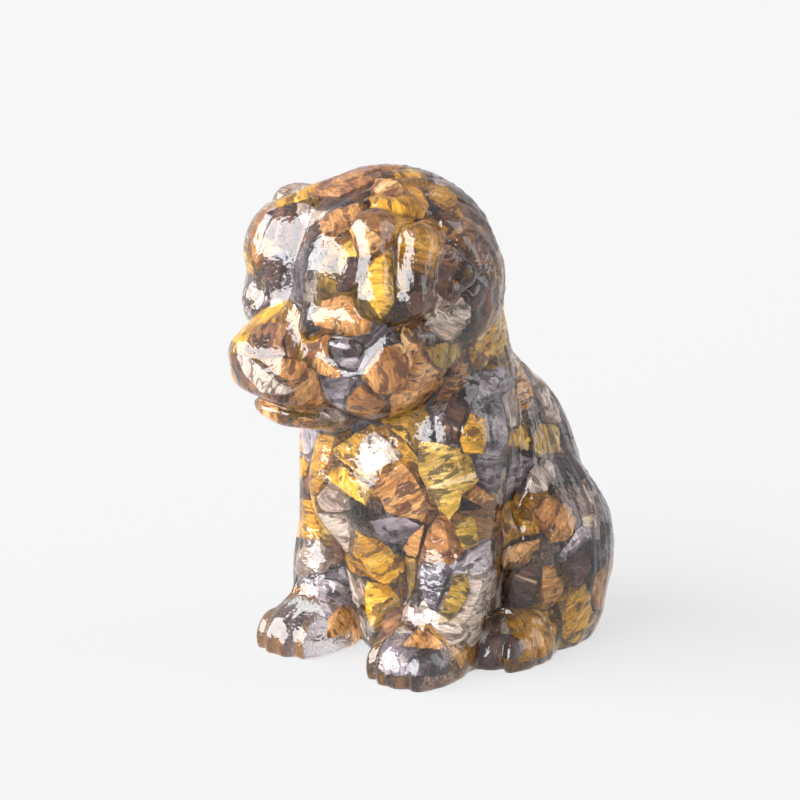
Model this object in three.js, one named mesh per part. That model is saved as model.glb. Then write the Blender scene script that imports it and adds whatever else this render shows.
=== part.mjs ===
import * as THREE from "three";

// A seated puppy figurine, one solid casting standing on its own flat underside.
// Millimetres, +Z up. The puppy's chest faces -Y, its own left side is +X and its
// head is turned a little to its right. The origin is the middle of the footprint.

// Rounded masses are ellipsoids (at, radii) and tapered limbs (from, to, radius at
// each end). Each one is melted into the ones before it over its blend distance.
// Masses with x above 0 stand for a mirrored pair.

const HEAD = { at: [-0.9, -14.95, 54.9], turn: -15, nod: -3, roll: 2.5, neckBlend: 3 };

// Head masses, in the head's own turned frame
const SKULL = { at: [0, 1.2, 0.6], radii: [16.4, 16.9, 17.0] };
const BROW = { at: [8.3, -8.8, 4.2], radii: [7.9, 8.3, 8.4], blend: 5 };
const CHEEK = { at: [9.2, -6.0, -8.4], radii: [8.6, 9.0, 8.4], blend: 5 };
const MUZZLE = { from: [0, -7.5, -6.4], to: [0, -16.5, -9.9], radii: [8.6, 6.3], blend: 4 };
const BRIDGE = { from: [4.6, -9.0, -4.6], to: [4.0, -17.0, -9.0], radii: [4.6, 3.4], blend: 2.5 };
const LIP_PAD = { at: [4.0, -15.8, -12.1], radii: [4.4, 5.3, 4.2], blend: 2 };
const JAW = { at: [0, -10.1, -16.8], radii: [7.0, 8.6, 3.0], blend: 2 };
const NOSE = { at: [0, -21.2, -8.7], radii: [3.5, 2.1, 2.4], blend: 2 };
const BROW_FOLD = { from: [8.6, -14.5, -2.6], to: [14.8, -10.6, -0.9], radii: [3.0, 2.5], blend: 1.4 };
const FURROW = { depth: 1.1, halfWidth: 1.9, bottom: -5, top: 14 };
const MOUTH = { depth: 0.8, halfWidth: 0.8, height: -15.4, slope: 0.12, front: -20, corner: -8 };
const CHEEK_FOLD = { points: [[16.6, -10.2, -2.2], [14.1, -13.2, -7.4]], depth: 1.2, halfWidth: 1.5 };
const EYE_HOLLOW = { at: [12.2, -15.1, -5.6], radii: [4.0, 2.7, 2.0], blend: 1.2 };
const EYE = { at: [11.5, -12.9, -5.4], radii: [3.8, 2.1, 1.7], blend: 0.3 };
const UPPER_LID = { from: [9.9, -13.6, -4.9], to: [14.7, -11.3, -3.6], radii: [0.9, 0.8], blend: 0.8 };
const LOWER_LID = { from: [9.6, -13.7, -7.0], to: [13.4, -12.4, -7.3], radii: [1.1, 1.0], blend: 1.4 };

// The ear is a flap folded down against the skull. The corners go round its middle
// surface from the front of its root, and two ridges run down its outer face.
const EAR = {
  corners: [
    [10.2, -7.8, 10.8], [11.8, -0.5, 9.5], [15.4, 3.2, 5.0],
    [16.0, 0, 2.4], [16.1, -7.7, 0.4], [14.0, -9.2, 3.2],
  ],
  ridges: [
    { from: [10.9, -9.3, 10.6], to: [15.5, -10.6, 1.8], radii: [2.7, 2.8], blend: 1.0 },
    { from: [14.5, -3.6, 9.2], to: [17.2, -6.0, 2.0], radii: [2.9, 2.6], blend: 1.0 },
  ],
  halfThickness: 1.9,
  foldBlend: 1.6,
  headBlend: 0.5,
  outline: { depth: 0.9, halfWidth: 0.9 },
};

// Body masses
const CHEST = { at: [0, -12.6, 30.5], radii: [12.4, 11.8, 17] };
const RUFF = { at: [3.6, -19.5, 26.0], radii: [4.8, 5.2, 7.0], blend: 2 };
const BELLY = { from: [0, -12.5, 26], to: [0, -8.5, 0], radii: [9.6, 7.0], blend: 4 };
const NECK = { from: [0, -7.3, 44], to: [0, -3.5, 29], radii: [13.0, 14.0], blend: 5 };
const BACK = { at: [0, 4.2, 21.5], radii: [15.8, 16.9, 21.3], blend: 5 };
const RUMP = { at: [0, 7.2, 9], radii: [18.3, 17.0, 15.0], blend: 6 };
const THIGH = { at: [13.2, 5.4, 14.0], radii: [8.2, 12.7, 13.6], blend: 3 };
const SEAT = { at: [9.5, 6.0, 3], radii: [9.0, 12.0, 7.0], blend: 4 };
const UPPER_FORELEG = { from: [10.2, -11.5, 33.5], to: [11.4, -13.2, 13], radii: [7.4, 5.6], blend: 4.5 };
const LOWER_FORELEG = { from: [11.4, -13.2, 13], to: [11.3, -16.3, 4], radii: [5.5, 5.4], blend: 3 };
const FORE_PAW = {
  at: [11.3, -19.6, 1.6], radii: [6.1, 7.2, 5.8], blend: 2,
  toes: { first: [7.1, -22.3, 1.5], pitch: 2.8, bow: 0.9, radii: [1.75, 3.7, 3.8], blend: 0.45 },
};
const HIND_PAW = {
  at: [15.0, -3.4, 1.8], radii: [5.8, 6.8, 5.2], blend: 1.6,
  toes: { first: [11.5, -7.0, 1.4], pitch: 2.6, bow: 0.7, radii: [1.6, 3.3, 3.5], blend: 0.4 },
};
const TOES_PER_PAW = 4;
const PAW_WEB = { at: [11.5, -9.8, 2.0], radii: [4.6, 5.0, 4.4], blend: 2 };
const TAIL = { from: [-2, 20.5, 5], to: [-12, 18.0, 4.2], radii: [3.6, 3.0], blend: 1.5 };

// Creases along broken lines: behind the shoulder, and between the chest and a fore leg
const CREASES = [
  { points: [[11.7, 1.4, 39.7], [15.4, -1.8, 27.2], [15.0, -6.9, 9.4]], depth: 1.1, halfWidth: 1.2 },
  { points: [[9.5, -20.4, 35.4], [12.3, -18.7, 23.2], [7.7, -18.8, 10.5]], depth: 0.6, halfWidth: 1.2 },
];

// The space the surface is looked for in, and the width of the facets in each part
const SPACE = { low: [-24, -40, 0], high: [24, 27, 74] };
const FACET = { across: 1.88, face: 1.54, body: 2.35, faceEnd: -10, pawTop: 9, headBottom: 36 };
const SETTLE_STEPS = 4;
const SLOPE_STEP = 0.02;

const wrap = (a, b, f) => a.map((v, i) => f(v, b[i]));
const minus = (a, b) => wrap(a, b, (u, v) => u - v);
const dot = (a, b) => a[0] * b[0] + a[1] * b[1] + a[2] * b[2];
const clamp = (v, low, high) => Math.min(Math.max(v, low), high);

function ramp(v, from, to) {
  const t = clamp((v - from) / (to - from), 0, 1);
  return t * t * (3 - 2 * t);
}

function melt(a, b, blend) {
  const near = Math.max(blend - Math.abs(a - b), 0) / blend;
  return Math.min(a, b) - (near * near * blend) / 4;
}

function ellipsoid(p, { at, radii }) {
  const q = wrap(minus(p, at), radii, (v, r) => v / r);
  const steep = wrap(q, radii, (v, r) => v / r);
  const size = Math.hypot(...q);
  return (size * (size - 1)) / Math.max(Math.hypot(...steep), 1e-9);
}

function limb(p, { from, to, radii }) {
  const along = minus(to, from);
  const rel = minus(p, from);
  const t = clamp(dot(rel, along) / dot(along, along), 0, 1);
  const off = wrap(rel, along, (v, w) => v - t * w);
  return Math.hypot(...off) - (radii[0] + (radii[1] - radii[0]) * t);
}

function sheet(p, a, b, c, halfThickness) {
  const triangle = new THREE.Triangle(...[a, b, c].map((v) => new THREE.Vector3(...v)));
  const point = new THREE.Vector3(...p);
  const nearest = triangle.closestPointToPoint(point, new THREE.Vector3());
  return nearest.distanceTo(point) - halfThickness;
}

function add(d, p, mass) {
  return melt(d, mass.from ? limb(p, mass) : ellipsoid(p, mass), mass.blend);
}

function carve(d, p, mass) {
  return -melt(-d, ellipsoid(p, mass), mass.blend);
}

function groove(distance, { depth, halfWidth }) {
  return depth * Math.exp(-((distance / halfWidth) ** 2));
}

function crease(p, line) {
  const parts = line.points.slice(1).map((to, i) => limb(p, { from: line.points[i], to, radii: [0, 0] }));
  return groove(Math.min(...parts), line);
}

function ear(m) {
  const [root, ...others] = EAR.corners;
  let flap = sheet(m, root, others[0], others[1], EAR.halfThickness);
  for (let i = 1; i + 1 < others.length; i++) {
    const next = sheet(m, root, others[i], others[i + 1], EAR.halfThickness);
    flap = melt(flap, next, EAR.foldBlend);
  }
  for (const ridge of EAR.ridges) flap = add(flap, m, ridge);
  return flap;
}

const turnedHead = new THREE.Matrix4().makeRotationFromEuler(
  new THREE.Euler(...[HEAD.nod, HEAD.roll, HEAD.turn].map(THREE.MathUtils.degToRad), "ZXY"),
);
turnedHead.setPosition(...HEAD.at);
const intoHead = turnedHead.clone().invert();

function head(p) {
  const q = new THREE.Vector3(...p).applyMatrix4(intoHead);
  const m = [Math.abs(q.x), q.y, q.z];
  let d = ellipsoid(m, SKULL);
  for (const mass of [BROW, CHEEK, MUZZLE, BRIDGE, LIP_PAD, JAW, NOSE, BROW_FOLD]) d = add(d, m, mass);
  if (q.y < 0) {
    const fade = ramp(q.z, FURROW.bottom, FURROW.bottom + 5) * (1 - ramp(q.z, FURROW.top - 8, FURROW.top));
    d += groove(q.x, FURROW) * fade;
  }
  const aboveMouth = q.z - MOUTH.height + MOUTH.slope * (q.y - MOUTH.front);
  d += groove(aboveMouth, MOUTH) * (1 - ramp(q.y, MOUTH.corner - 4, MOUTH.corner));
  d += crease(m, CHEEK_FOLD);
  d = carve(d, m, EYE_HOLLOW);
  for (const mass of [EYE, UPPER_LID, LOWER_LID]) d = add(d, m, mass);
  const flap = ear(m);
  return melt(d + groove(flap, EAR.outline), flap, EAR.headBlend);
}

function paw(d, m, foot) {
  let joined = add(d, m, foot);
  const { first, pitch, bow, radii, blend } = foot.toes;
  const middle = (TOES_PER_PAW - 1) / 2;
  for (let i = 0; i < TOES_PER_PAW; i++) {
    const back = bow * (Math.abs(i - middle) - middle);
    const toe = { at: [first[0] + pitch * i, first[1] + back, first[2]], radii, blend };
    joined = add(joined, m, toe);
  }
  return joined;
}

function body(p) {
  const m = [Math.abs(p[0]), p[1], p[2]];
  let d = ellipsoid(m, CHEST);
  for (const mass of [RUFF, BELLY, NECK, BACK, RUMP, THIGH, SEAT, UPPER_FORELEG, LOWER_FORELEG]) {
    d = add(d, m, mass);
  }
  for (const line of CREASES) d += crease(m, line);
  d = paw(d, m, FORE_PAW);
  d = paw(d, m, HIND_PAW);
  d = add(d, m, PAW_WEB);
  return add(d, p, TAIL);
}

// Below 0 inside the figure, above 0 outside, near its surface about the distance
const puppy = (p) => melt(body(p), head(p), HEAD.neckBlend);

function steps(low, high, width) {
  const marks = [low];
  while (marks[marks.length - 1] < high) {
    const last = marks[marks.length - 1];
    marks.push(last + width(last));
  }
  return marks;
}

// Moves a point onto the surface along the slope, within its own cell. A flat point
// lies on the underside, and only its plan position moves.
function settle(p, low, high, flat) {
  let q = [...p];
  for (let n = 0; n < SETTLE_STEPS; n++) {
    const slope = [0, 1, 2].map((axis) => {
      if (flat && axis === 2) return 0;
      const ahead = q.map((v, i) => (i === axis ? v + SLOPE_STEP : v));
      const behind = q.map((v, i) => (i === axis ? v - SLOPE_STEP : v));
      return (puppy(ahead) - puppy(behind)) / (2 * SLOPE_STEP);
    });
    const push = puppy(q) / Math.max(dot(slope, slope), 0.05);
    q = q.map((v, i) => clamp(v - push * slope[i], low[i], high[i]));
  }
  return q;
}

// A cell's corners are numbered 0 to 7, with one bit for each axis
const BIT = [4, 2, 1];
const CORNERS = [0, 1].flatMap((a) => [0, 1].flatMap((b) => [0, 1].map((c) => [a, b, c])));
const CELL_EDGES = BIT.flatMap((bit, axis) => CORNERS.map((_, near) => near)
  .filter((near) => !(near & bit))
  .map((near) => ({ near, far: near + bit, axis })));
const CELL_FACES = BIT.flatMap((bit) => [0, bit].map((side) => CELL_EDGES
  .filter(({ near, far }) => (near & bit) === side && (far & bit) === side)));

// The edges of a cell that the surface crosses, grouped into the loops it makes there. On
// a face crossed four times, the two edges at each full corner belong together.
function loops(depths) {
  const fullEnd = ({ near, far }) => (depths[near] < 0 ? near : far);
  const crossed = CELL_EDGES.filter(({ near, far }) => depths[near] < 0 !== depths[far] < 0);
  const loopOf = new Map(crossed.map((edge) => [edge, [edge]]));
  for (const face of CELL_FACES) {
    const ends = face.filter((edge) => loopOf.has(edge));
    for (const [i, a] of ends.entries()) {
      for (const b of ends.slice(i + 1)) {
        const apart = loopOf.get(a) !== loopOf.get(b);
        if (!apart || (ends.length > 2 && fullEnd(a) !== fullEnd(b))) continue;
        const both = [...loopOf.get(a), ...loopOf.get(b)];
        for (const edge of both) loopOf.set(edge, both);
      }
    }
  }
  return new Set(loopOf.values());
}

// The middle of the places where the surface crosses the edges of a loop
function crossing(loop, depths, low, high) {
  const sum = [0, 0, 0];
  for (const { near, far } of loop) {
    const t = depths[near] / (depths[near] - depths[far]);
    for (let axis = 0; axis < 3; axis++) {
      const from = CORNERS[near][axis];
      const part = from + (CORNERS[far][axis] - from) * t;
      sum[axis] += low[axis] + (high[axis] - low[axis]) * part;
    }
  }
  return sum.map((v) => v / loop.length);
}

// One corner point for every loop of the surface in a cell of the grid, and one square
// for every grid edge it crosses, cut into two triangles.
function surface() {
  const { low, high } = SPACE;
  const xs = steps(low[0], high[0], () => FACET.across);
  const ys = steps(low[1], high[1], (y) => (y < FACET.faceEnd ? FACET.face : FACET.body));
  const fineZ = (z) => z < FACET.pawTop || z > FACET.headBottom;
  const zs = steps(-FACET.face / 2, high[2], (z) => (fineZ(z) ? FACET.face : FACET.body));
  const [nx, ny, nz] = [xs, ys, zs].map((marks) => marks.length);
  const at = (i, j, k) => (i * ny + j) * nz + k;
  const depth = new Float64Array(nx * ny * nz);
  xs.forEach((x, i) => ys.forEach((y, j) => zs.forEach((z, k) => {
    depth[at(i, j, k)] = z > 0 ? puppy([x, y, z]) : -z;
  })));

  const points = [];
  const pointAt = new Map();
  const edgeKey = (cell, near, axis) => (cell * 3 + axis) * CORNERS.length + near;
  for (let i = 0; i + 1 < nx; i++) {
    for (let j = 0; j + 1 < ny; j++) {
      for (let k = 0; k + 1 < nz; k++) {
        const depths = CORNERS.map(([a, b, c]) => depth[at(i + a, j + b, k + c)]);
        const full = depths.filter((d) => d < 0).length;
        if (full === 0 || full === CORNERS.length) continue;
        const from = [xs[i], ys[j], zs[k]];
        const to = [xs[i + 1], ys[j + 1], zs[k + 1]];
        const flat = k === 0;
        for (const loop of loops(depths)) {
          const start = crossing(loop, depths, from, to);
          if (flat) start[2] = 0;
          for (const { near, axis } of loop) {
            pointAt.set(edgeKey(at(i, j, k), near, axis), points.length);
          }
          const inside = flat && full === CORNERS.length / 2;
          points.push(inside ? start : settle(start, from, to, flat));
        }
      }
    }
  }

  const triangles = [];
  const reach = [ny * nz, nz, 1];
  for (let axis = 0; axis < 3; axis++) {
    const [uAxis, vAxis] = [(axis + 1) % 3, (axis + 2) % 3];
    const [u, v] = [reach[uAxis], reach[vAxis]];
    const [uBit, vBit] = [BIT[uAxis], BIT[vAxis]];
    for (let n = 0; n + reach[axis] < depth.length; n++) {
      if (depth[n] < 0 === depth[n + reach[axis]] < 0) continue;
      const around = [[n - u - v, uBit + vBit], [n - v, vBit], [n, 0], [n - u, uBit]];
      const ring = around.map(([cell, near]) => pointAt.get(edgeKey(cell, near, axis)));
      if (depth[n] >= 0) ring.reverse();
      const [a, b, c, d] = ring;
      const short = distance(points[a], points[c]) <= distance(points[b], points[d]);
      triangles.push(...(short ? [a, b, c, a, c, d] : [a, b, d, b, c, d]));
    }
  }
  return { points, triangles };
}

function distance(a, b) {
  return Math.hypot(...minus(a, b));
}

const { points, triangles } = surface();
const casting = new THREE.BufferGeometry();
casting.setAttribute("position", new THREE.Float32BufferAttribute(points.flat(), 3));
casting.setIndex(triangles);
casting.computeBoundingBox();
const { min, max } = casting.boundingBox;
casting.translate(-(min.x + max.x) / 2, -(min.y + max.y) / 2, -min.z);
casting.computeVertexNormals();

const clearResin = new THREE.MeshStandardMaterial({ color: 0xb98a4a, roughness: 0.08, metalness: 0 });
const figurine = new THREE.Mesh(casting, clearResin);
figurine.name = "puppy_casting";

const group = new THREE.Group();
group.name = "resin_pet_figurine";
group.add(figurine);

export default group;
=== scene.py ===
import math
from itertools import product

import bpy
import numpy as np
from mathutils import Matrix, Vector


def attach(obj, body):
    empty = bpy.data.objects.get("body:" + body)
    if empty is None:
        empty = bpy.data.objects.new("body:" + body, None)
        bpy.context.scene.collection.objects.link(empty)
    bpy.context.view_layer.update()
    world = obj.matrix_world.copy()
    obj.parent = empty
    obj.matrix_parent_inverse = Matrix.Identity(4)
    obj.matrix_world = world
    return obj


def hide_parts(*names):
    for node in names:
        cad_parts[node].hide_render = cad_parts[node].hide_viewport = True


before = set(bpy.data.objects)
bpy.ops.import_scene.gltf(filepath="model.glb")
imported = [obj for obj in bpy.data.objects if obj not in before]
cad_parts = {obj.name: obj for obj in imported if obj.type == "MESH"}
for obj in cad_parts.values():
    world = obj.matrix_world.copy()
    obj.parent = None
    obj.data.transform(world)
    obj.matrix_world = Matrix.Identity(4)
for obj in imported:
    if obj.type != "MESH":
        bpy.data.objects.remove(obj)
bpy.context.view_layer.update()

# A seated puppy cast in clear resin, packed with tumbled stone chips.
# The shapes are worked out in millimetres in the modelling frame: +Z up, the chest
# faces -Y, the puppy's own left side is +X. MIDDLE is the middle of its footprint
# there, and becomes the origin of the finished pieces, in metres.
MM = 0.001
MIDDLE = np.array([-0.041, -7.005, 0.0])
SEED = 20

# Rounded masses are ellipsoids (at, radii) and tapered limbs (start, end, radii).
# Each is melted into the ones before it over its blend distance. A mass with x above
# 0 stands for a mirrored pair.
HEAD = {"at": (-0.9, -14.95, 54.9), "turn": -15, "nod": -3, "roll": 2.5, "neck_blend": 3}
SKULL = {"at": (0, 1.2, 0.6), "radii": (16.4, 16.9, 17.0)}
FACE_MASSES = (
    {"at": (8.3, -8.8, 4.2), "radii": (7.9, 8.3, 8.4), "blend": 5},  # brow
    {"at": (9.2, -6.0, -8.4), "radii": (8.6, 9.0, 8.4), "blend": 5},  # cheek
    {"start": (0, -7.5, -6.4), "end": (0, -16.5, -9.9), "radii": (8.6, 6.3), "blend": 4},  # muzzle
    # side of the muzzle's bridge
    {"start": (4.6, -9.0, -4.6), "end": (4.0, -17.0, -9.0), "radii": (4.6, 3.4), "blend": 2.5},
    {"at": (4.0, -15.8, -12.1), "radii": (4.4, 5.3, 4.2), "blend": 2},  # lip pad
    {"at": (0, -10.1, -16.8), "radii": (7.0, 8.6, 3.0), "blend": 2},  # jaw
    {"at": (0, -21.2, -8.7), "radii": (3.5, 2.1, 2.4), "blend": 2},  # nose
    # fold under the brow
    {"start": (8.6, -14.5, -2.6), "end": (14.8, -10.6, -0.9), "radii": (3.0, 2.5), "blend": 1.4},
)
FURROW = {"depth": 1.1, "half_width": 1.9, "bottom": -5, "top": 14}
MOUTH = {
    "depth": 0.8, "half_width": 0.8,
    "height": -15.4, "slope": 0.12, "front": -20, "corner": -8,
}
CHEEK_FOLD = {"points": ((16.6, -10.2, -2.2), (14.1, -13.2, -7.4)), "depth": 1.2, "half_width": 1.5}
EYE_HOLLOW = {"at": (12.2, -15.1, -5.6), "radii": (4.0, 2.7, 2.0), "blend": 1.2}
EYE = {"at": (11.5, -12.9, -5.4), "radii": (3.8, 2.1, 1.7), "blend": 0.3}
LIDS = (
    {"start": (9.9, -13.6, -4.9), "end": (14.7, -11.3, -3.6), "radii": (0.9, 0.8), "blend": 0.8},
    {"start": (9.6, -13.7, -7.0), "end": (13.4, -12.4, -7.3), "radii": (1.1, 1.0), "blend": 1.4},
)

# The ear is a flap folded down against the skull: corners round its middle surface from
# the front of its root, and two ridges down its outer face
EAR = {
    "corners": (
        (10.2, -7.8, 10.8), (11.8, -0.5, 9.5), (15.4, 3.2, 5.0),
        (16.0, 0, 2.4), (16.1, -7.7, 0.4), (14.0, -9.2, 3.2),
    ),
    "ridges": (
        {"start": (10.9, -9.3, 10.6), "end": (15.5, -10.6, 1.8), "radii": (2.7, 2.8), "blend": 1.0},
        {"start": (14.5, -3.6, 9.2), "end": (17.2, -6.0, 2.0), "radii": (2.9, 2.6), "blend": 1.0},
    ),
    "half_thickness": 1.9,
    "fold_blend": 1.6,
    "head_blend": 0.5,
    "outline": {"depth": 0.9, "half_width": 0.9},
}
CHEST = {"at": (0, -12.6, 30.5), "radii": (12.4, 11.8, 17)}
BACK = {"at": (0, 4.2, 21.5), "radii": (15.8, 16.9, 21.3), "blend": 5}
BODY_MASSES = (
    {"at": (3.6, -19.5, 26.0), "radii": (4.8, 5.2, 7.0), "blend": 2},  # ruff
    {"start": (0, -12.5, 26), "end": (0, -8.5, 0), "radii": (9.6, 7.0), "blend": 4},  # belly
    {"start": (0, -7.3, 44), "end": (0, -3.5, 29), "radii": (13.0, 14.0), "blend": 5},  # neck
    BACK,
    {"at": (0, 7.2, 9), "radii": (18.3, 17.0, 15.0), "blend": 6},  # rump
    {"at": (13.2, 5.4, 14.0), "radii": (8.2, 12.7, 13.6), "blend": 3},  # thigh
    {"at": (9.5, 6.0, 3), "radii": (9.0, 12.0, 7.0), "blend": 4},  # seat
    # upper and lower fore leg
    {"start": (10.2, -11.5, 33.5), "end": (11.4, -13.2, 13), "radii": (7.4, 5.6), "blend": 4.5},
    {"start": (11.4, -13.2, 13), "end": (11.3, -16.3, 4), "radii": (5.5, 5.4), "blend": 3},
)
FORE_PAW = {
    "at": (11.3, -19.6, 1.6), "radii": (6.1, 7.2, 5.8), "blend": 2,
    "toes": {"first": (7.1, -22.3, 1.5), "pitch": 2.8, "bow": 0.9,
             "radii": (1.75, 3.7, 3.8), "blend": 0.45},
}
HIND_PAW = {
    "at": (15.0, -3.4, 1.8), "radii": (5.8, 6.8, 5.2), "blend": 1.6,
    "toes": {"first": (11.5, -7.0, 1.4), "pitch": 2.6, "bow": 0.7,
             "radii": (1.6, 3.3, 3.5), "blend": 0.4},
}
TOES_PER_PAW = 4
PAW_WEB = {"at": (11.5, -9.8, 2.0), "radii": (4.6, 5.0, 4.4), "blend": 2}
TAIL = {"start": (-2, 20.5, 5), "end": (-12, 18.0, 4.2), "radii": (3.6, 3.0), "blend": 1.5}

# Creases along broken lines: behind the shoulder, and between the chest and a fore leg
CREASES = (
    {
        "points": ((11.7, 1.4, 39.7), (15.4, -1.8, 27.2), (15.0, -6.9, 9.4)),
        "depth": 1.1, "half_width": 1.2,
    },
    {
        "points": ((9.5, -20.4, 35.4), (12.3, -18.7, 23.2), (7.7, -18.8, 10.5)),
        "depth": 0.6, "half_width": 1.2,
    },
)

SPACE_LOW = np.array([-24.0, -40.0, 0.0])
SPACE_HIGH = np.array([24.0, 27.0, 74.5])
CELL = 0.92  # width of the first net of squares; one division halves it
CHUNK = 300_000


def ramp(v, start, end):
    t = np.clip((v - start) / (end - start), 0, 1)
    return t * t * (3 - 2 * t)


def melt(a, b, blend):
    near = np.maximum(blend - np.abs(a - b), 0) / blend
    return np.minimum(a, b) - near * near * blend / 4


def length(v):
    return np.sqrt(np.einsum("...i,...i", v, v))


def unit(v):
    return v / length(v)[..., None]


def ellipsoid(p, mass):
    """Size s of p / radii, times (s - 1), over the size of p / radii squared."""
    q = (p - mass["at"]) / mass["radii"]
    size = length(q)
    return size * (size - 1) / np.maximum(length(q / mass["radii"]), 1e-9)


def limb(p, mass):
    """Distance to the nearest point of the bone, less the radius there."""
    along = np.subtract(mass["end"], mass["start"])
    rel = p - mass["start"]
    t = np.clip(rel @ along / (along @ along), 0, 1)
    r0, r1 = mass["radii"]
    return length(rel - t[:, None] * along) - (r0 + (r1 - r0) * t)


def sheet(p, a, b, c, half_thickness):
    """Distance to a triangle, by its plane inside it and its edges outside, less half the
    sheet's thickness."""
    a, b, c = (np.array(v, float) for v in (a, b, c))
    normal = np.cross(b - a, a - c)
    inside = 0
    edge = np.full(len(p), 1e9)
    for u, v in ((a, b), (b, c), (c, a)):
        inside = inside + np.sign((p - u) @ np.cross(v - u, normal))
        along = v - u
        t = np.clip((p - u) @ along / (along @ along), 0, 1)
        edge = np.minimum(edge, length(p - u - t[:, None] * along))
    plane = np.abs((p - a) @ normal) / length(normal)
    return np.where(inside >= 2, plane, edge) - half_thickness


def add(d, p, mass):
    other = limb(p, mass) if "start" in mass else ellipsoid(p, mass)
    return melt(d, other, mass["blend"])


def groove(distance, cut):
    return cut["depth"] * np.exp(-((distance / cut["half_width"]) ** 2))


def crease(p, line):
    ends = zip(line["points"], line["points"][1:])
    parts = [limb(p, {"start": a, "end": b, "radii": (0, 0)}) for a, b in ends]
    return groove(np.minimum.reduce(parts), line)


def turned(nod, roll, turn):
    (cn, sn), (cr, sr), (ct, st) = (
        (math.cos(math.radians(a)), math.sin(math.radians(a))) for a in (nod, roll, turn)
    )
    about_x = np.array([[1, 0, 0], [0, cn, -sn], [0, sn, cn]])
    about_y = np.array([[cr, 0, sr], [0, 1, 0], [-sr, 0, cr]])
    about_z = np.array([[ct, -st, 0], [st, ct, 0], [0, 0, 1]])
    return about_z @ about_x @ about_y


HEAD_AXES = turned(HEAD["nod"], HEAD["roll"], HEAD["turn"])


def mirrored(p):
    return np.column_stack([np.abs(p[:, 0]), p[:, 1:]])


def ear(m):
    root, *others = EAR["corners"]
    flaps = [sheet(m, root, a, b, EAR["half_thickness"]) for a, b in zip(others, others[1:])]
    flap = flaps[0]
    for other in flaps[1:]:
        flap = melt(flap, other, EAR["fold_blend"])
    for ridge in EAR["ridges"]:
        flap = add(flap, m, ridge)
    return flap


def head(p):
    q = (p - HEAD["at"]) @ HEAD_AXES
    m = mirrored(q)
    x, y, z = q.T
    d = ellipsoid(m, SKULL)
    for mass in FACE_MASSES:
        d = add(d, m, mass)
    fade = ramp(z, FURROW["bottom"], FURROW["bottom"] + 5)
    fade = fade * (1 - ramp(z, FURROW["top"] - 8, FURROW["top"]))
    d = d + groove(x, FURROW) * fade * (y < 0)
    above_mouth = z - MOUTH["height"] + MOUTH["slope"] * (y - MOUTH["front"])
    d = d + groove(above_mouth, MOUTH) * (1 - ramp(y, MOUTH["corner"] - 4, MOUTH["corner"]))
    d = d + crease(m, CHEEK_FOLD)
    d = -melt(-d, ellipsoid(m, EYE_HOLLOW), EYE_HOLLOW["blend"])
    for mass in (EYE, *LIDS):
        d = add(d, m, mass)
    flap = ear(m)
    return melt(d + groove(flap, EAR["outline"]), flap, EAR["head_blend"])


def paw(d, m, foot):
    d = add(d, m, foot)
    toes = foot["toes"]
    middle = (TOES_PER_PAW - 1) / 2
    for i in range(TOES_PER_PAW):
        x, y, z = toes["first"]
        at = (x + toes["pitch"] * i, y + toes["bow"] * (abs(i - middle) - middle), z)
        d = add(d, m, {"at": at, "radii": toes["radii"], "blend": toes["blend"]})
    return d


def body(p):
    m = mirrored(p)
    d = ellipsoid(m, CHEST)
    for mass in BODY_MASSES:
        d = add(d, m, mass)
    for line in CREASES:
        d = d + crease(m, line)
    d = paw(paw(d, m, FORE_PAW), m, HIND_PAW)
    return add(add(d, m, PAW_WEB), p, TAIL)


def puppy(p):
    """Below 0 inside the casting, above 0 outside, near its surface about the distance."""
    return melt(body(p), head(p), HEAD["neck_blend"])


def lattice_noise(p, seed):
    """Random values from 0 to 1 on the corners of unit cells, blended smoothly across each cell."""
    cell = np.floor(p).astype(np.int64)
    t = p - cell
    t = t * t * (3 - 2 * t)
    total = np.zeros(len(p))
    for corner in product((0, 1), repeat=3):
        i, j, k = (cell + corner).T
        mixed = (i * 73856093) ^ (j * 19349663) ^ (k * 83492791) ^ (seed * 2654435761)
        mixed = ((mixed ^ (mixed >> 13)) * 1274126177) & 0x7FFFFFFF
        value = ((mixed ^ (mixed >> 15)) & 0xFFFF) / 0xFFFF
        total += value * np.prod(np.where(corner, t, 1 - t), axis=1)
    return total


# Two layers of hair lines, each with its depth, its width and the seed of its noise
FUR = {
    "layers": ((0.46, 1.15, 1), (0.26, 0.6, 2)), "along": 7.5, "below": 9,
    "bend": 2.2, "bend_size": 11, "body_radius": 15, "neck": (36, 42),
}


def fur(p):
    """Noise drawn out along the hair: downwards on the body, round the skull on the head."""
    q = (p - HEAD["at"]) @ HEAD_AXES
    angle = np.arctan2(q[:, 2], -q[:, 1]) * SKULL["radii"][2]
    around = np.arctan2(p[:, 1] - BACK["at"][1], p[:, 0]) * FUR["body_radius"]
    on_head = ramp(p[:, 2], *FUR["neck"])
    bend = FUR["bend"] * (lattice_noise(p / FUR["bend_size"], 5) - 0.5)
    along, below = FUR["along"], FUR["below"]
    relief = np.zeros(len(p))
    for depth, across, seed in FUR["layers"]:
        body_hair = np.column_stack([(around + bend) / across, p[:, 1] / below, p[:, 2] / along])
        head_hair = np.column_stack([(q[:, 0] + bend) / across, length(q) / below, angle / along])
        strands = np.where(
            on_head > 0.5, lattice_noise(head_hair, seed + 10), lattice_noise(body_hair, seed)
        )
        relief += depth * (np.abs(2 * strands - 1) - 0.5)
    smooth_face = ramp(-q[:, 1], 3, 11) * on_head
    paws = 1 - ramp(p[:, 2], 4, 9)
    edge = np.abs(on_head - 0.5) * 2
    return relief * (1 - 0.6 * smooth_face) * (1 - 0.4 * paws) * edge


def furred(p):
    return puppy(p) + fur(p)


def in_chunks(f, p):
    return np.concatenate([f(p[i:i + CHUNK]) for i in range(0, len(p), CHUNK)])


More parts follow.
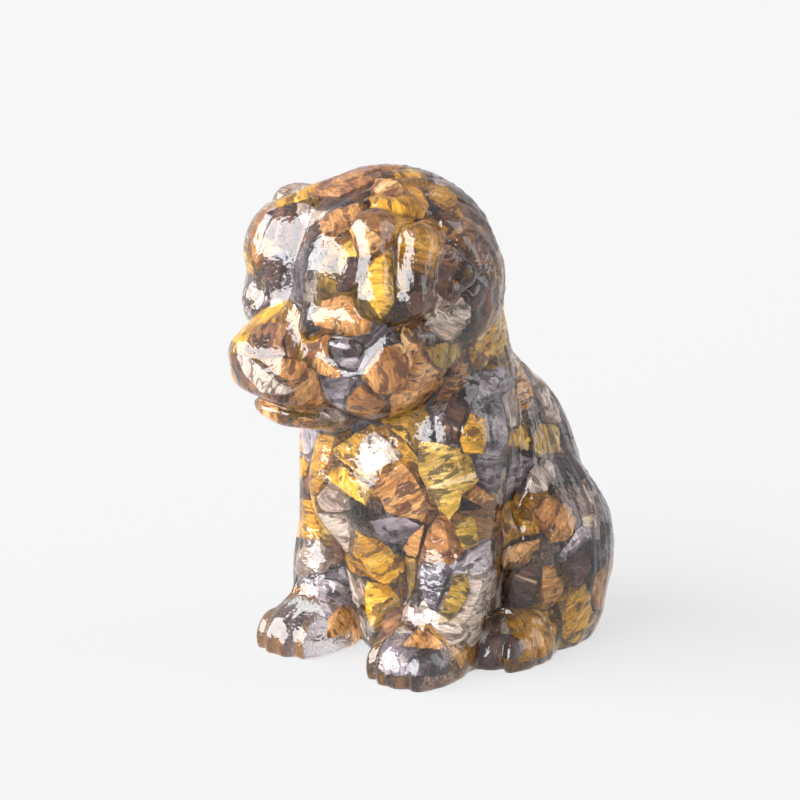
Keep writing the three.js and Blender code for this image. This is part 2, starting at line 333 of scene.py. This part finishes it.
def slope(f, p, eps=0.03):
    return np.stack([(f(p + e) - f(p - e)) / (2 * eps) for e in np.eye(3) * eps], axis=1)


def settle(f, p, passes, flat, rim):
    """Moves points onto the surface along its slope. Flat ones keep to the underside,
    and of those only the rim moves, in plan."""
    p = p.copy()
    moving = ~flat | rim
    for _ in range(passes):
        q = p[moving]
        g = slope(f, q)
        g[rim[moving], 2] = 0
        push = np.clip(f(q), -1, 1) / np.maximum((g * g).sum(1), 0.05)
        q = q - push[:, None] * g
        q[:, 2] = np.where(rim[moving], 0, np.maximum(q[:, 2], 0.02))
        p[moving] = q
    return p


def net():
    """One point in each cell that the surface passes through, at the mean of its edge
    crossings, and one square for each grid edge that it crosses. The lowest layer of
    cells straddles the underside, so its points are laid flat."""
    axes = [np.arange(low, high + CELL, CELL) for low, high in zip(SPACE_LOW, SPACE_HIGH)]
    axes[2] = np.arange(-CELL / 2, SPACE_HIGH[2] + CELL, CELL)
    shape = tuple(len(a) for a in axes)
    grid = np.stack(np.meshgrid(*axes, indexing="ij"), -1).reshape(-1, 3)
    depth = in_chunks(puppy, grid).reshape(shape)
    depth[:, :, 0] = CELL / 2
    full = depth < 0
    cells = np.array(shape) - 1
    total = np.zeros((*cells, 3))
    found = np.zeros(cells)

    def corner_of(values, corner):
        return values[tuple(slice(c, c + n) for c, n in zip(corner, cells))]

    for near in product((0, 1), repeat=3):
        for axis in range(3):
            if near[axis]:
                continue
            far = tuple(1 if a == axis else c for a, c in enumerate(near))
            a, b = corner_of(depth, near), corner_of(depth, far)
            crossed = corner_of(full, near) != corner_of(full, far)
            t = np.where(crossed, a / np.where(crossed, a - b, 1), 0)
            for e in range(3):
                total[..., e] += np.where(crossed, near[e] + (t if e == axis else 0), 0)
            found += crossed
    active = found > 0
    number = np.full(active.shape, -1)
    number[active] = np.arange(active.sum())
    cell = np.argwhere(active)
    low = np.array([a[0] for a in axes])
    points = low + (cell + total[active] / found[active][:, None]) * CELL
    flat = cell[:, 2] == 0
    points[flat, 2] = 0

    squares = []
    for axis in range(3):
        u, v = np.eye(3, dtype=int)[[(axis + 1) % 3, (axis + 2) % 3]]
        first = tuple(slice(0, -1) if a == axis else slice(1, -1) for a in range(3))
        second = tuple(slice(1, None) if a == axis else slice(1, -1) for a in range(3))
        crossed = full[first] != full[second]
        base = np.argwhere(crossed) + 1 - np.eye(3, dtype=int)[axis]
        ring = [number[tuple((base - o).T)] for o in (u + v, v, 0 * u, u)]
        square = np.stack(ring, axis=1)
        outward = full[first][crossed]
        square[~outward] = square[~outward][:, ::-1]
        squares.append(square)
    return points, np.concatenate(squares), flat


def rim_of(squares, flat):
    """Flat points that also belong to a square which isn't flat."""
    rim = np.zeros(len(flat), bool)
    rim[squares[~flat[squares].all(axis=1)].ravel()] = True
    return rim & flat


def halved(points, squares, flat):
    """Each square in four, with a point at the middle of each edge and of the square."""
    edges = np.stack([squares, np.roll(squares, -1, axis=1)], axis=2).reshape(-1, 2)
    unique, back = np.unique(np.sort(edges, axis=1), axis=0, return_inverse=True)
    back = back.reshape(-1, 4) + len(points)
    centre = np.arange(len(squares)) + len(points) + len(unique)
    more = np.concatenate([points, points[unique].mean(axis=1), points[squares].mean(axis=1)])
    flat = np.concatenate([flat, flat[unique].all(axis=1), flat[squares].all(axis=1)])
    parts = [(squares[:, i], back[:, i], centre, back[:, i - 1]) for i in range(4)]
    return more, np.concatenate([np.stack(part, axis=1) for part in parts]), flat


def to_place(points):
    return (points - MIDDLE) * MM


def mesh_piece(name, points, squares, material, replaces=None, faceted=False):
    mesh = bpy.data.meshes.new(name)
    mesh.from_pydata(to_place(points), [], squares.tolist())
    if not faceted:
        mesh.shade_smooth()
    piece = bpy.data.objects.new(name, mesh)
    bpy.context.scene.collection.objects.link(piece)
    mesh.materials.append(material)
    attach(piece, "root")
    if replaces:
        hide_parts(replaces)
    return piece


class Socket:
    """A shader socket with arithmetic: each expression adds its own Math node."""

    def __init__(self, material, socket):
        self.material, self.socket = material, socket

    def maths(self, operation, *values):
        return self.material.node(
            "ShaderNodeMath", {"operation": operation}, dict(enumerate((self, *values)))
        )

    def __add__(self, other):
        return self.maths("ADD", other)

    def __mul__(self, other):
        return self.maths("MULTIPLY", other)

    def __sub__(self, other):
        return self.maths("SUBTRACT", other)

    def __rsub__(self, other):
        return self * -1 + other

    __radd__, __rmul__ = __add__, __mul__


class Material:
    """A material built node by node, with its Principled shader's own values set on it."""

    def __init__(self, name, **values):
        self.made = bpy.data.materials.new(name)
        self.made.use_nodes = True
        self.tree = self.made.node_tree
        self.shader = self.tree.nodes["Principled BSDF"]
        self.feed(self.shader, values)

    def feed(self, node, inputs):
        for key, value in inputs.items():
            socket = node.inputs[key]
            if isinstance(value, Socket):
                self.tree.links.new(value.socket, socket)
            else:
                socket.default_value = value

    def node(self, kind, settings=None, inputs=None, output=0):
        made = self.tree.nodes.new(kind)
        for key, value in (settings or {}).items():
            if key == "stops":
                ends = made.color_ramp.elements
                while len(ends) < len(value):
                    ends.new(0.5)
                for stop, (position, colour) in zip(ends, value):
                    stop.position, stop.color = position, (*colour, 1)
            else:
                setattr(made, key, value)
        self.feed(made, inputs or {})
        return Socket(self, made.outputs[output])

    def stretched(self, vector, scale):
        return self.node("ShaderNodeMapping", {}, {"Vector": vector, "Scale": scale})

    def noise(self, vector, scale, detail=2.0, distortion=0.0):
        values = {"Vector": vector, "Scale": scale, "Detail": detail, "Distortion": distortion}
        return self.node("ShaderNodeTexNoise", {}, values)

    def mapped(self, value, low, high, to_low=0.0, to_high=1.0):
        values = {0: value, 1: low, 2: high, 3: to_low, 4: to_high}
        return self.node("ShaderNodeMapRange", {}, values)

    def mix(self, factor, a, b, blend="MIX"):
        return self.node(
            "ShaderNodeMix", {"data_type": "RGBA", "blend_type": blend}, {0: factor, 6: a, 7: b}, 2
        )


def clear_resin():
    """Clear and glossy, with soft ripples, and the pits and scratches of its mould."""
    resin = Material(
        "clear_resin",
        **{"Base Color": (1, 1, 1, 1), "Roughness": 0.015, "IOR": 1.56, "Transmission Weight": 1.0},
    )
    place = resin.node("ShaderNodeTexCoord", output=3)
    ripples = resin.noise(place, 300, 0)
    dents = resin.noise(place, 900, 1)
    pits = resin.mapped(resin.noise(place, 2400, 0), 0.60, 0.68)
    scratches = resin.noise(resin.stretched(place, (2200, 2200, 260)), 1.0, 0)
    tooth = resin.noise(place, 1700, 0)
    height = ripples * 0.5 + dents * 0.45 + tooth * 0.20 + scratches * 0.12 - pits * 0.10
    normal = resin.node(
        "ShaderNodeBump", {}, {"Strength": 0.5, "Distance": 0.0004, "Height": height}
    )
    resin.feed(resin.shader, {"Normal": normal})
    return resin.made


# Families of chips: their share near the skin and deep inside, and the colours of their
# bands from dark to light
STONES = {
    "orange": (
        0.23, 0.10,
        ((0.12, 0.036, 0.014), (0.40, 0.170, 0.040), (0.60, 0.31, 0.10), (0.80, 0.53, 0.25)),
    ),
    "golden": (
        0.22, 0.14,
        ((0.12, 0.040, 0.002), (0.44, 0.20, 0.008), (0.66, 0.36, 0.024), (0.86, 0.57, 0.13)),
    ),
    "olive": (
        0.07, 0.07,
        ((0.07, 0.040, 0.010), (0.26, 0.150, 0.020), (0.45, 0.28, 0.035), (0.68, 0.48, 0.14)),
    ),
    "brown": (
        0.14, 0.30,
        ((0.022, 0.012, 0.013), (0.07, 0.034, 0.028), (0.18, 0.080, 0.042), (0.44, 0.22, 0.09)),
    ),
    "tan": (
        0.20, 0.14,
        ((0.14, 0.090, 0.070), (0.41, 0.315, 0.25), (0.63, 0.52, 0.43), (0.83, 0.74, 0.66)),
    ),
    "slate": (
        0.16, 0.22,
        ((0.030, 0.024, 0.033), (0.13, 0.107, 0.127), (0.33, 0.285, 0.31), (0.61, 0.55, 0.56)),
    ),
}


def stone(family, bands):
    """Bands across the grain from drawn-out noise, fine fibres along it, mottling, dark veins
    where a noise crosses its middle value, a painted sheen of pale cream on the lightest bands,
    and a silky metallic sheen on the light bands."""
    chip = Material(
        "tiger_eye_" + family, **{"Roughness": 0.42, "Specular IOR Level": 0.25, "IOR": 1.45}
    )
    grain = chip.node("ShaderNodeAttribute", {"attribute_name": "grain"}, output=1)
    tone = chip.node("ShaderNodeAttribute", {"attribute_name": "tone"}, output=2)
    layers = chip.noise(chip.stretched(grain, (0.42, 0.08, 0.10)), 1.0, 4, 0.9)
    fibres = chip.noise(chip.stretched(grain, (3.4, 0.4, 0.8)), 1.0, 3)
    mottle = chip.noise(chip.stretched(grain, (0.8, 0.3, 0.45)), 1.0, 6, 0.6)
    crack = chip.noise(chip.stretched(grain, (0.22, 0.16, 0.3)), 1.0, 4, 1.2) - 0.5
    stops = list(zip((0.26, 0.42, 0.56, 0.72), bands))
    along = layers * 0.75 + mottle * 0.25 + (tone - 0.5) * 0.20
    colour = chip.node("ShaderNodeValToRGB", {"stops": stops}, {"Fac": along})
    shade = fibres * 2.6 + tone * 0.3 - 0.31
    grey = chip.node("ShaderNodeCombineColor", {}, {0: shade, 1: shade, 2: shade})
    colour = chip.mix(1.0, colour, grey, "MULTIPLY")
    stained = chip.mapped(mottle, 0.54, 0.58, 0.0, 0.85)
    colour = chip.mix(stained, colour, (*bands[0], 1))
    vein = chip.mapped(crack * crack, 0.0, 0.00016, 0.6, 0.0)
    colour = chip.mix(vein, colour, (0.03, 0.016, 0.012, 1))
    # Painted sheen: pale cream mixed onto the lightest layers, standing in for the stone's silky
    # sheen
    painted_sheen = chip.mapped(layers, 0.66, 0.72, 0.0, 0.6)
    colour = chip.mix(painted_sheen, colour, (0.86, 0.70, 0.46, 1))
    roughness = 0.3 + fibres * 0.35
    sheen = chip.mapped(layers, 0.5, 0.7, 0.0, 0.3)
    bump = chip.node(
        "ShaderNodeBump", {}, {"Strength": 0.3, "Distance": 0.0002, "Height": fibres}
    )
    finish = {"Base Color": colour, "Roughness": roughness, "Metallic": sheen, "Normal": bump}
    chip.feed(chip.shader, finish)
    return chip.made


def directions(n):
    """Points of a cube's faces, n squares along each edge, pushed out to a sphere."""
    marks = np.tan(np.linspace(-1, 1, n + 1) * math.pi / 4)
    u, v = (a.ravel() for a in np.meshgrid(marks, marks, indexing="ij"))
    one = np.ones_like(u)
    sides = []
    for axis in range(3):
        for side in (-1, 1):
            parts = [None, None, None]
            parts[axis], parts[(axis + 1) % 3], parts[(axis + 2) % 3] = side * one, u * side, v
            sides.append(np.stack(parts, axis=1))
    points = np.concatenate(sides)
    corner = (np.arange(n)[:, None] * (n + 1) + np.arange(n)).ravel()
    square = np.stack([corner, corner + n + 1, corner + n + 2, corner + 1], axis=1)
    squares = np.concatenate([square + i * (n + 1) ** 2 for i in range(6)])
    _, first, back = np.unique(np.round(points, 6), axis=0, return_index=True, return_inverse=True)
    return unit(points[first]), back.reshape(-1)[squares]


# Millimetres, apart from the spreads, the tilt, the softness and the shares of a radius
CHIP = {
    "pitch": 5.8,
    "radii": (5.6, 3.7, 2.4),
    "size_spread": 0.42,
    "shape_spread": 0.18,
    "cuts": 11,
    "tilt": 0.35,
    "cut_depth": (0.72, 1.12),
    "neighbours": 26,
    "gap": (0.08, 0.45),
    "facets": 3,
    "corner_softness": 0.03,
    "least_depth": 1.4,
    "skin": (0.25, 0.9),
    "deep": (3.0, 7.0),
    "clear_of_main": 1.15,
}
# The fore paws are mostly clear resin, the far one more than the near one
CLEAR_PAW = {"at": (11.3, -21.0, 2.0), "radius": 5.6, "kept": (0.0, 0.3), "size": 0.3}
# Chips that stand out near the skin: the family, the middle, the way its length lies, half its
# length, half its width, and its tone. The first two, the darkest, lie behind the eyes as painted
# shade, so that each eye reads as a dark slit.
MAIN_CHIPS = (
    # Painted shade: the darkest brown chips, tone -1, behind the eyes
    ("brown", (-14.3, -23.2, 49.8), (0.9, -0.2, 0.0), 1.7, 1.1, -1.0),
    ("brown", (7.2, -29.2, 49.6), (0.8, 0.6, 0.0), 1.7, 1.1, -1.0),
    ("olive", (12.7, -16.5, 30.8), (0.2, 0.2, -1.0), 7.5, 3.6, 0.8),
    ("golden", (15.4, -13.7, 35.6), (0.3, -0.1, -0.9), 3.3, 1.8, 0.5),
    ("orange", (7.8, -19.9, 26.8), (0.4, 0.4, -0.9), 5.4, 3.1, 0.6),
    ("golden", (1.8, -17.6, 17.0), (0.4, 0.5, -0.8), 5.9, 4.4, 0.6),
    ("tan", (5.3, -21.6, 32.2), (0.8, 0.5, 0.4), 3.0, 2.4, 0.9),
    ("olive", (14.9, -16.7, 11.8), (0.3, 0.4, 0.9), 4.2, 2.4, 0.6),
    ("olive", (15.4, -14.6, 21.0), (0.0, 0.1, -1.0), 2.3, 1.7, 0.7),
    ("slate", (12.7, -17.7, 13.6), (0.2, -0.1, -1.0), 5.3, 2.6, 0.1),
    ("orange", (9.0, -17.9, 19.5), (0.3, -0.1, 0.9), 2.2, 1.6, 0.7),
    ("golden", (-11.9, -16.9, 19.4), (0.0, 0.1, 1.0), 3.8, 2.5, 0.6),
    ("tan", (15.1, 0.8, 25.8), (0.0, 0.9, 0.5), 2.9, 2.1, 0.4),
    ("orange", (18.4, 1.6, 20.4), (0.4, 0.7, -0.6), 4.7, 2.3, 0.3),
    ("orange", (18.7, -0.4, 10.6), (-0.1, 0.3, -1.0), 3.7, 1.6, 0.4),
    ("brown", (16.9, -3.5, 11.2), (0.4, 0.2, 0.9), 4.4, 2.3, 0.1),
    ("brown", (19.5, 5.1, 13.2), (0.0, 0.0, -1.0), 3.6, 2.2, 0.3),
    ("brown", (19.1, 7.0, 20.3), (0.3, 0.0, -1.0), 3.6, 2.0, 0.6),
    ("slate", (15.7, -10.1, 29.9), (0.0, -0.1, -1.0), 3.9, 2.4, 0.4),
    ("brown", (14.6, -7.9, 18.8), (0.0, 0.0, -1.0), 3.4, 2.1, 0.8),
    ("golden", (11.6, -28.0, 58.9), (-0.4, 0.3, 0.9), 4.1, 2.4, 0.8),
    ("golden", (7.3, -20.6, 67.6), (0.7, 0.6, 0.3), 4.0, 1.9, 0.4),
    ("orange", (7.2, -31.3, 53.6), (0.9, 0.3, -0.2), 5.7, 2.7, 0.6),
    ("orange", (11.7, -26.5, 46.0), (0.4, 0.9, 0.3), 5.0, 3.0, 0.4),
    ("tan", (12.9, -17.1, 52.5), (0.1, 0.4, 0.9), 3.8, 4.0, 0.7),
    ("olive", (13.2, -18.5, 47.5), (-0.1, 1.0, 0.0), 4.2, 1.9, 0.6),
    ("brown", (-4.1, -33.8, 49.0), (0.9, 0.5, 0.1), 4.0, 2.6, 0.9),
    ("orange", (-0.4, -34.8, 46.1), (0.8, 0.6, -0.2), 3.3, 1.5, 0.4),
    ("tan", (-2.8, -36.0, 44.5), (0.9, 0.1, -0.4), 4.3, 1.8, 0.5),
    ("slate", (3.2, -30.6, 43.4), (0.9, 0.4, -0.2), 3.6, 2.1, 0.8),
    ("orange", (4.3, -31.1, 46.2), (1.0, 0.1, -0.2), 3.2, 1.2, 0.4),
    ("brown", (8.4, -30.4, 60.2), (0.0, 0.2, 1.0), 2.7, 1.4, 0.2),
    ("orange", (8.1, -28.2, 64.3), (0.9, -0.1, -0.5), 2.7, 1.8, 0.6),
    ("brown", (-8.1, -28.5, 56.9), (0.2, 0.0, -1.0), 3.3, 1.8, 0.2),
    ("orange", (3.8, -18.6, 69.6), (1.0, 0.2, -0.3), 2.5, 1.9, 0.7),
    ("golden", (8.0, -11.8, 68.0), (0.6, 0.5, -0.5), 2.7, 2.4, 0.3),
    ("orange", (3.1, -27.0, 66.4), (0.6, 0.7, 0.4), 3.8, 2.2, 0.5),
    ("brown", (-6.6, -17.6, 16.5), (0.3, -0.3, 0.9), 4.4, 1.6, 0.3),
    ("orange", (-6.9, -17.6, 4.1), (-0.1, 0.8, 0.6), 2.7, 1.5, 0.6),
    ("orange", (12.6, -20.5, 5.2), (0.6, 0.8, 0.2), 2.5, 1.6, 0.6),
    ("slate", (11.2, -22.2, 2.6), (1.0, 0.2, 0.0), 3.6, 1.8, 0.2),
    ("slate", (-10.5, -15.5, 6.5), (1.0, 0.0, 0.3), 4.2, 3.0, 0.6),
    ("brown", (15.7, -9.1, 2.9), (0.7, 0.7, 0.2), 3.6, 2.7, 0.1),
)


def random_axes(rng, count):
    """Turned axes from random quaternions, one 3 by 3 matrix a chip."""
    q = rng.normal(size=(count, 4))
    w, x, y, z = unit(q).T
    rows = [
        [1 - 2 * (y * y + z * z), 2 * (x * y - z * w), 2 * (x * z + y * w)],
        [2 * (x * y + z * w), 1 - 2 * (x * x + z * z), 2 * (y * z - x * w)],
        [2 * (x * z - y * w), 2 * (y * z + x * w), 1 - 2 * (x * x + y * y)],
    ]
    return np.array(rows).transpose(2, 0, 1)


def clear_balls():
    x, y, z = CLEAR_PAW["at"]
    return np.array([(-x, y, z), (x, y, z)])


def main_chips():
    """Middles, axes, radii, families and tones of the main chips. Each lies along the skin."""
    families, places, ways, lengths, widths, tones = (np.array(v) for v in zip(*MAIN_CHIPS))
    outward = unit(slope(puppy, places))
    along = unit(ways - (ways * outward).sum(1)[:, None] * outward)
    axes = np.stack([along, np.cross(outward, along), outward], axis=2)
    radii = np.stack([lengths, widths, 0.3 + 0.6 * widths], axis=1)
    return places, axes, radii, families, tones


def shrunk(axes, radii):
    """For each chip the matrix that makes its stretched ball a ball of radius 1."""
    return (axes / radii[:, None, :]).transpose(0, 2, 1)


def chip_places(rng, main_places, main_shrink):
    """Middles of the other chips: a jittered grid inside the casting, clear of the main
    chips and thinned in the fore paws."""
    pitch = CHIP["pitch"]
    axes = [np.arange(low, high, pitch) for low, high in zip(SPACE_LOW, SPACE_HIGH)]
    grid = np.stack(np.meshgrid(*axes, indexing="ij"), -1).reshape(-1, 3)
    grid = grid + pitch / 2 + rng.uniform(-0.46, 0.46, grid.shape) * pitch
    inside = (in_chunks(puppy, grid) < -CHIP["least_depth"]) & (grid[:, 2] > CHIP["least_depth"])
    off_main = length(np.einsum("kij,nkj->nki", main_shrink, grid[:, None] - main_places))
    inside &= (off_main > CHIP["clear_of_main"]).all(axis=1)
    in_ball = length(grid[:, None] - clear_balls()) < CLEAR_PAW["radius"]
    in_paw = in_ball.any(axis=1)
    keep = inside & (~in_paw | (rng.random(len(grid)) < in_ball @ CLEAR_PAW["kept"]))
    return grid[keep], in_paw[keep]


def reach_to_skin(places, outward, skin):
    """Steps out from each middle by the room that is left, until only the skin is."""
    far = np.zeros(outward.shape[:2])
    for _ in range(9):
        p = places[:, None] + far[..., None] * outward
        room = -in_chunks(puppy, p.reshape(-1, 3)).reshape(far.shape)
        room = np.minimum(room, p[..., 2]) - skin[:, None]
        far = far + 0.9 * np.maximum(room, 0)
    return far


def reach_to_planes(outward, normals, heights):
    """Distance along each direction to each plane: its height over the direction's share
    of its normal."""
    facing = np.einsum("nki,nmi->nkm", normals, outward)
    return np.where(facing > 1e-6, heights[..., None] / np.maximum(facing, 1e-6), 1e6)


def own_planes(rng, axes, radii):
    """The six sides of a tilted box and a few more cuts, each about a stretched ball's radius
    from the middle of the chip."""
    for cut in range(CHIP["cuts"]):
        normal = rng.normal(size=radii.shape)
        if cut < 6:
            normal *= CHIP["tilt"]
            normal[:, cut // 2] += 1 - 2 * (cut % 2)
        normal = unit(normal)
        height = length(normal * radii) * rng.uniform(*CHIP["cut_depth"], len(radii))
        yield np.einsum("nij,nj->ni", axes, normal), height


def neighbour_planes(places, shrink, gap):
    """A plane parts a chip from a neighbour where both chips' stretched distances along the
    line between their middles are equal, square to the change of the difference of their
    squares."""
    squared = np.einsum("nki,nkj->nij", shrink, shrink)
    apart = ((places[:, None] - places[None]) ** 2).sum(-1)
    for other in np.argsort(apart, axis=1)[:, 1:CHIP["neighbours"] + 1].T:
        across = places[other] - places
        mine, theirs = (length(np.einsum("nij,nj->ni", s, across)) for s in (shrink, shrink[other]))
        share = (theirs / (mine + theirs))[:, None]
        normal = share * np.einsum("nij,nj->ni", squared, across)
        normal += (1 - share) * np.einsum("nij,nj->ni", squared[other], across)
        normal = unit(normal)
        yield normal, share[:, 0] * (normal * across).sum(-1) - gap


def stone_chips():
    """Every chip is a block between flat planes: its own cuts, the planes that part it from its
    neighbours, the skin's slope and the underside. A cube's squares are spread over it, and
    each square keeps to the plane that is nearest along its direction. A corner starts on the
    nearest plane and moves to where the planes of its squares meet, by least squares, so that
    edges are sharp. Corners that would come too near the skin are drawn back."""
    rng = np.random.default_rng(SEED)
    main_places, main_axes, main_radii, families, tones = main_chips()
    others, in_paw = chip_places(rng, main_places, shrunk(main_axes, main_radii))
    size = np.exp(rng.normal(0, CHIP["size_spread"], len(others)))
    size[in_paw] *= CLEAR_PAW["size"]
    shape = np.exp(rng.normal(0, CHIP["shape_spread"], (len(others), 3)))
    places = np.concatenate([main_places, others])
    axes = np.concatenate([main_axes, random_axes(rng, len(others))])
    radii = np.concatenate([main_radii, np.array(CHIP["radii"]) * shape * size[:, None]])
    shrink = shrunk(axes, radii)
    count = len(places)
    free = np.concatenate([np.full(len(main_places), True), in_paw])
    skin = rng.uniform(*CHIP["skin"], count)

    planes = [*own_planes(rng, axes, radii)]
    planes += neighbour_planes(places, shrink, rng.uniform(*CHIP["gap"], count))
    steepest = slope(puppy, places)
    planes.append((unit(steepest), -puppy(places) - skin))
    planes.append((np.tile((0.0, 0, -1), (count, 1)), places[:, 2] - skin))
    for middle in clear_balls():
        apart = length(middle - places)
        room = np.where(free, 1e3, apart - CLEAR_PAW["radius"])
        planes.append(((middle - places) / apart[:, None], room))
    normals = np.stack([normal for normal, _ in planes], axis=1)
    heights = np.maximum(np.stack([height for _, height in planes], axis=1), 0.15)

    marks, squares = directions(CHIP["facets"])
    belongs = (squares.T[:, None] == np.arange(len(marks))[:, None]).any(axis=0).astype(float)

    def spread(ways):
        return unit(np.einsum("nij,nmj->nmi", axes, ways * radii[:, None]))

    nearest = reach_to_planes(spread(marks[squares].mean(axis=1)), normals, heights).argmin(axis=1)
    flat_to = np.take_along_axis(normals, nearest[..., None], 1)
    flat_at = np.take_along_axis(heights, nearest, 1)
    outward = spread(marks)
    start = outward * reach_to_planes(outward, normals, heights).min(axis=1)[..., None]
    pull = np.einsum("cq,nqi,nqj->ncij", belongs, flat_to, flat_to)
    want = np.einsum("cq,nqi,nq->nci", belongs, flat_to, flat_at)
    want = want - np.einsum("ncij,ncj->nci", pull, start)
    pull = pull + np.eye(3) * CHIP["corner_softness"]
    move = np.linalg.solve(pull, want[..., None])[..., 0]
    longest = 0.5 * length(start)
    move *= np.minimum(1, longest / np.maximum(length(move), 1e-9))[..., None]
    corner = start + move

    far = length(corner)
    outward = corner / far[..., None]
    far = np.maximum(np.minimum(far, reach_to_skin(places, outward, skin)), 0.1)
    points = places[:, None] + far[..., None] * outward
    grain = np.einsum("nij,nmi->nmj", axes, points - places[:, None])
    grain = grain + rng.uniform(0, 400, (count, 1, 3))

    near, deep = (np.cumsum([share[i] for share in STONES.values()]) for i in (0, 1))
    inside = ramp(-puppy(places), *CHIP["deep"])[:, None]
    edges = near / near[-1] * (1 - inside) + deep / deep[-1] * inside
    family = (rng.random((count, 1)) > edges).sum(axis=1)
    family[:len(families)] = [list(STONES).index(name) for name in families]
    tone = rng.random(count)
    tone[:len(tones)] = tones
    solid = (far.mean(axis=1) > 0.7) | (np.arange(count) < len(families))
    return points[solid], squares, grain[solid], family[solid], tone[solid]


def add_attribute(piece, name, kind, values):
    layer = piece.data.attributes.new(name, kind, "POINT")
    layer.data.foreach_set("vector" if kind == "FLOAT_VECTOR" else "value", values.ravel())


def build_stones():
    points, squares, grain, family, tone = stone_chips()
    for number, (name, (_, _, bands)) in enumerate(STONES.items()):
        chosen = family == number
        count, corners = chosen.sum(), points.shape[1]
        faces = (squares[None] + np.arange(count)[:, None, None] * corners).reshape(-1, 4)
        piece = mesh_piece(
            name + "_stones", points[chosen].reshape(-1, 3), faces,
            stone(name, bands), faceted=True,
        )
        add_attribute(piece, "grain", "FLOAT_VECTOR", grain[chosen])
        add_attribute(piece, "tone", "FLOAT", np.repeat(tone[chosen], corners))


def build_casting():
    points, squares, flat = net()
    points = settle(puppy, points, 2, flat, rim_of(squares, flat))
    points, squares, flat = halved(points, squares, flat)
    points = settle(furred, points, 3, flat, rim_of(squares, flat))
    return mesh_piece(
        "resin_puppy", points, squares, clear_resin(), replaces="puppy_casting"
    )


# The camera, at the photograph's angle
VIEW_AZIMUTH, VIEW_ELEVATION = 43, 12.5
VIEW_DISTANCE = 0.45
VIEW_TARGET = Vector(((-3.75, -7.8, 36.6) - MIDDLE) * MM)
PIXELS_PER_RADIAN = 3042
IMAGE_WIDTH = 800


def outward_direction(azimuth, elevation):
    a, e = math.radians(azimuth), math.radians(elevation)
    return Vector((math.sin(a) * math.cos(e), -math.cos(a) * math.cos(e), math.sin(e)))


def build_camera():
    camera = bpy.data.objects.new("camera", bpy.data.cameras.new("camera"))
    camera.data.lens = camera.data.sensor_width * PIXELS_PER_RADIAN / IMAGE_WIDTH
    camera.data.clip_start = 0.01
    back = outward_direction(VIEW_AZIMUTH, VIEW_ELEVATION)
    camera.location = VIEW_TARGET + back * VIEW_DISTANCE
    camera.rotation_euler = (-back).to_track_quat("-Z", "Y").to_euler()
    bpy.context.scene.collection.objects.link(camera)
    bpy.context.scene.camera = camera


def soft_box(name, azimuth, elevation, distance, width, height, radiance, colour=(1, 1, 1)):
    light = bpy.data.lights.new(name, "AREA")
    light.shape, light.size, light.size_y = "RECTANGLE", width, height
    light.energy, light.color = radiance * width * height * math.pi, colour
    lamp = bpy.data.objects.new(name, light)
    toward = outward_direction(azimuth, elevation)
    lamp.location = Vector((0, 0, 0.035)) + toward * distance
    lamp.rotation_euler = toward.to_track_quat("Z", "Y").to_euler()
    bpy.context.scene.collection.objects.link(lamp)


def build_studio():
    scene = bpy.context.scene
    scene.view_settings.view_transform = "Standard"
    world = bpy.data.worlds.new("studio")
    world.use_nodes = True
    background = world.node_tree.nodes["Background"]
    background.inputs["Color"].default_value = (1.0, 0.95, 0.98, 1)
    background.inputs["Strength"].default_value = 0.75
    scene.world = world
    soft_box("key_window", -22, 26, 16.0, 32, 14, 12.3, (0.99, 0.98, 1.0))
    soft_box("fill_card", 132, 20, 12.0, 6, 12, 3)

    half = 4.0
    corners = np.array([(-half, -half), (half, -half), (half, half), (-half, half)])
    mesh = bpy.data.meshes.new("floor")
    mesh.from_pydata([(x, y, -0.0001) for x, y in corners], [], [(0, 1, 2, 3)])
    floor = bpy.data.objects.new("floor", mesh)
    scene.collection.objects.link(floor)
    paper = Material(
        "floor_paper",
        **{
            "Roughness": 0.9, "Specular IOR Level": 0.1,
            "Emission Color": (1, 1, 1, 1), "Emission Strength": 0.68,
        },
    )
    place = paper.node("ShaderNodeTexCoord", output=3)
    tooth = paper.noise(place, 900, 2)
    white = paper.mix(tooth, (0.085, 0.085, 0.085, 1), (0.095, 0.095, 0.095, 1))
    paper.feed(paper.shader, {"Base Color": white})
    mesh.materials.append(paper.made)


build_casting()
build_stones()
build_camera()
build_studio()
